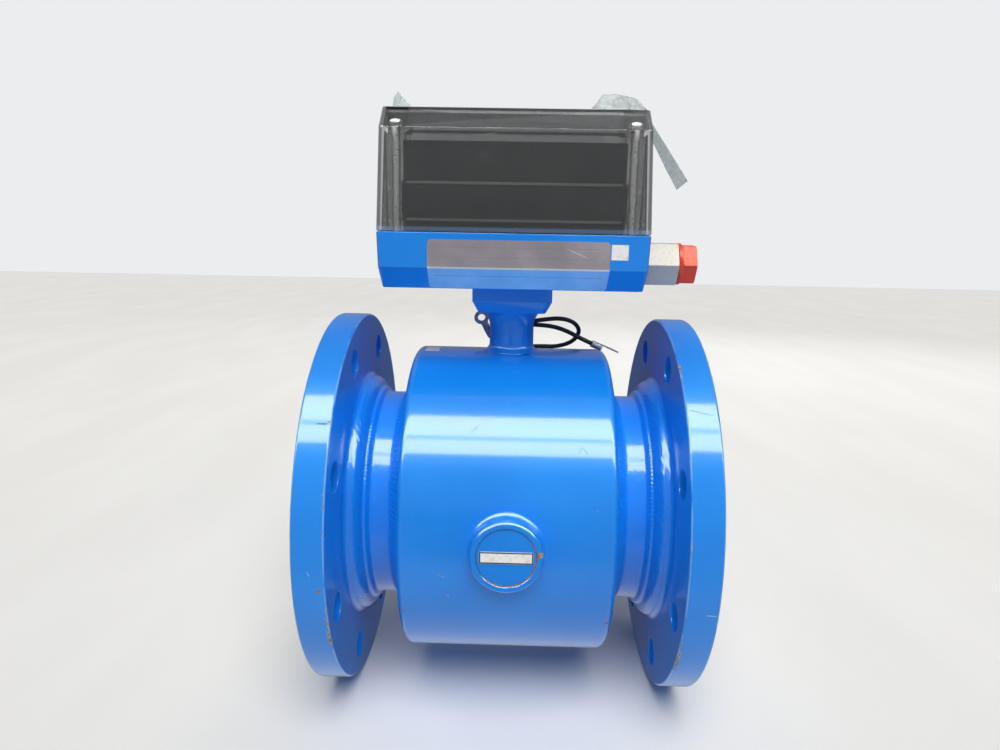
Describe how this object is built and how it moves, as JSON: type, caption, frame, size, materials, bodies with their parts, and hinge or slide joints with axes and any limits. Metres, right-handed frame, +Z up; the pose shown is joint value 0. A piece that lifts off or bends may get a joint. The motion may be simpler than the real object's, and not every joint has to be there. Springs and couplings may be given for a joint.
{
  "type": "electromagnetic flow meter",
  "caption": "Flanged electromagnetic flow meter: a lined tube in a round blue coil housing, with a boxy converter under a smoked cover on a short neck.",
  "frame": {"origin": "on the pipe axis, half way between the two sealing faces", "axes": "+X along the pipe towards the side with the conduit adapter, -Y out of the front with the name plate, +Z up from the pipe to the converter"},
  "size_m": [0.25, 0.25, 0.3887],
  "materials": {
    "blue_paint": "glossy azure paint over rough castings and welds",
    "lining": "smooth white lining",
    "electrode_steel": "turned stainless steel",
    "bush_plastic": "turned insulating plastic",
    "magnet_iron": "bare rolled iron",
    "coil_copper": "varnished copper winding",
    "white_label": "blank label",
    "screw_steel": "bright plated steel",
    "gasket_rubber": "soft black rubber",
    "smoked_plastic": "see-through smoked plastic, polished",
    "dark_plastic": "moulded black plastic",
    "board": "varnished circuit board",
    "transformer_core": "stacked iron sheets with a wrapped winding",
    "plate_aluminium": "thin satin aluminium sheet",
    "adapter_metal": "plated metal",
    "red_plastic": "translucent red moulding",
    "lug_metal": "tinned sheet",
    "lead_rubber": "black insulated wire",
    "clear_tape": "clear adhesive tape"
  },
  "bodies": {
    "meter": {"flange_left": "blue_paint", "flange_right": "blue_paint", "measuring_tube": "blue_paint", "housing_shell": "blue_paint", "housing_end_left": "blue_paint", "housing_end_right": "blue_paint", "electrode_boss_front": "blue_paint", "electrode_boss_rear": "blue_paint", "boss_cap_front": "blue_paint", "boss_cap_rear": "blue_paint", "liner": "lining", "neck_casting": "blue_paint", "electrode_front": "electrode_steel", "electrode_rear": "electrode_steel", "electrode_nut_front": "electrode_steel", "electrode_nut_rear": "electrode_steel", "electrode_bush_front": "bush_plastic", "electrode_bush_rear": "bush_plastic", "pole_shoe_upper": "magnet_iron", "pole_shoe_lower": "magnet_iron", "yoke_band": "magnet_iron", "coil_upper": "coil_copper", "coil_lower": "coil_copper", "badge_plate": "white_label", "front_label": "white_label", "housing_label": "white_label", "neck_screws": "screw_steel", "earth_screw": "screw_steel", "earth_washer": "screw_steel", "converter_base": "blue_paint", "cover_gasket": "gasket_rubber", "adapter_seal": "gasket_rubber", "electronics_tray": "dark_plastic", "supply_cover": "dark_plastic", "signal_cover": "dark_plastic", "terminal_strip": "dark_plastic", "supply_board": "board", "signal_board": "board", "mains_transformer": "transformer_core", "name_plate": "plate_aluminium", "conduit_adapter": "adapter_metal", "lock_nut": "adapter_metal", "near_lug_a": "lug_metal", "near_lug_b": "lug_metal", "far_lug_a": "lug_metal", "far_lug_b": "lug_metal", "earth_lead_a": "lead_rubber", "earth_lead_b": "lead_rubber"},
    "cover": {"smoked_cover": "smoked_plastic", "cover_screws": "screw_steel", "tape_flap_left": "clear_tape", "tape_flap_right": "clear_tape", "tape_tail": "clear_tape"},
    "plug": {"thread_plug": "red_plastic"}
  },
  "joints": [
    {"name": "cover_lift", "type": "slide", "parent": "meter", "child": "cover", "axis": [0, 0, 1], "range_m": [0, 0.1]},
    {"name": "plug_pull", "type": "slide", "parent": "meter", "child": "plug", "axis": [1, 0, 0], "range_m": [0, 0.06]}
  ]
}
